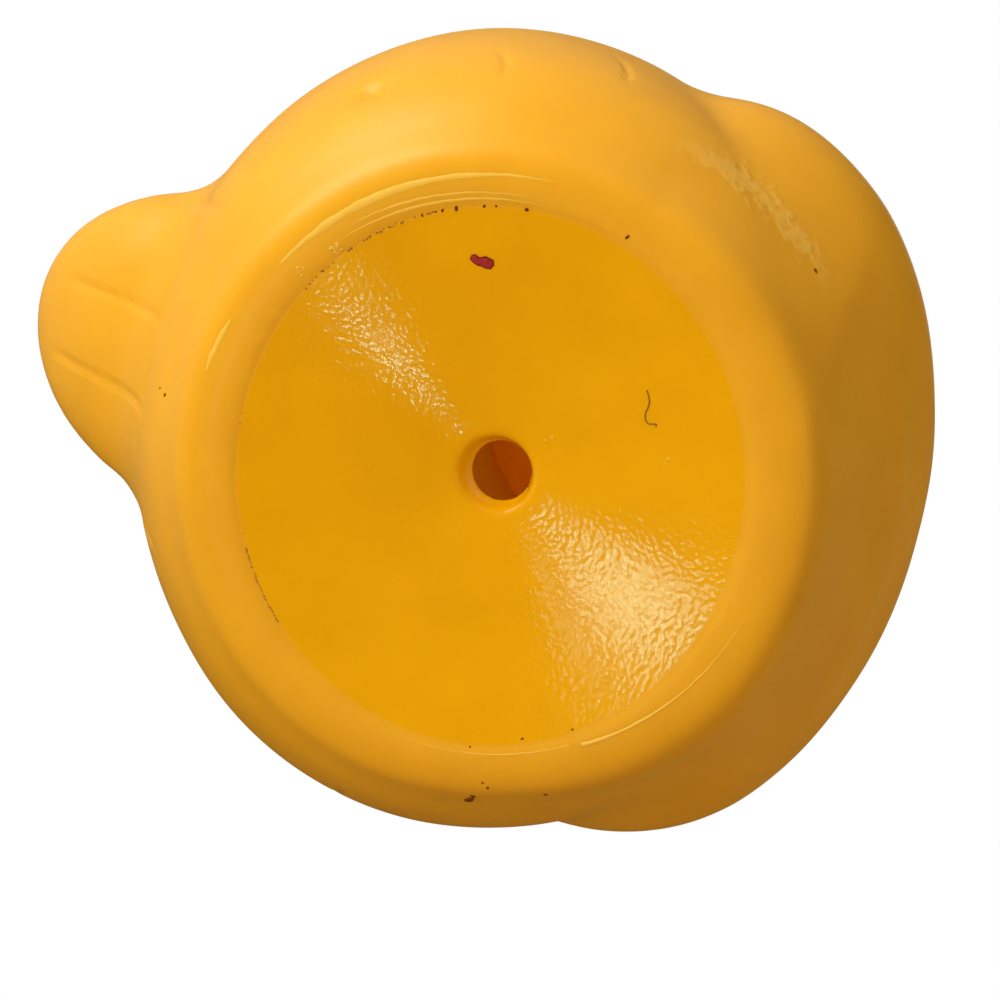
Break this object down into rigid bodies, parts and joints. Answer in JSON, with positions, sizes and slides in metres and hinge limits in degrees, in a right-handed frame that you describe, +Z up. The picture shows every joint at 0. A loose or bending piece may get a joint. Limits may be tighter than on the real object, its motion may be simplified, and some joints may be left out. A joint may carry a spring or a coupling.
{
  "type": "rubber duck",
  "caption": "Hollow one-piece soft vinyl bath duck with a ring foot, a dished base with a central vent hole, a stub tail, low wings, a round head and a flat bill.",
  "frame": {"origin": "on the surface the duck stands on, under the middle of its length and width", "axes": "+Z up, -Y the way the duck faces, +X to its left"},
  "size_m": [0.058, 0.0692, 0.059],
  "materials": {
    "vinyl": "satin"
  },
  "bodies": {
    "root": {"duck_body": "vinyl"}
  },
  "joints": []
}
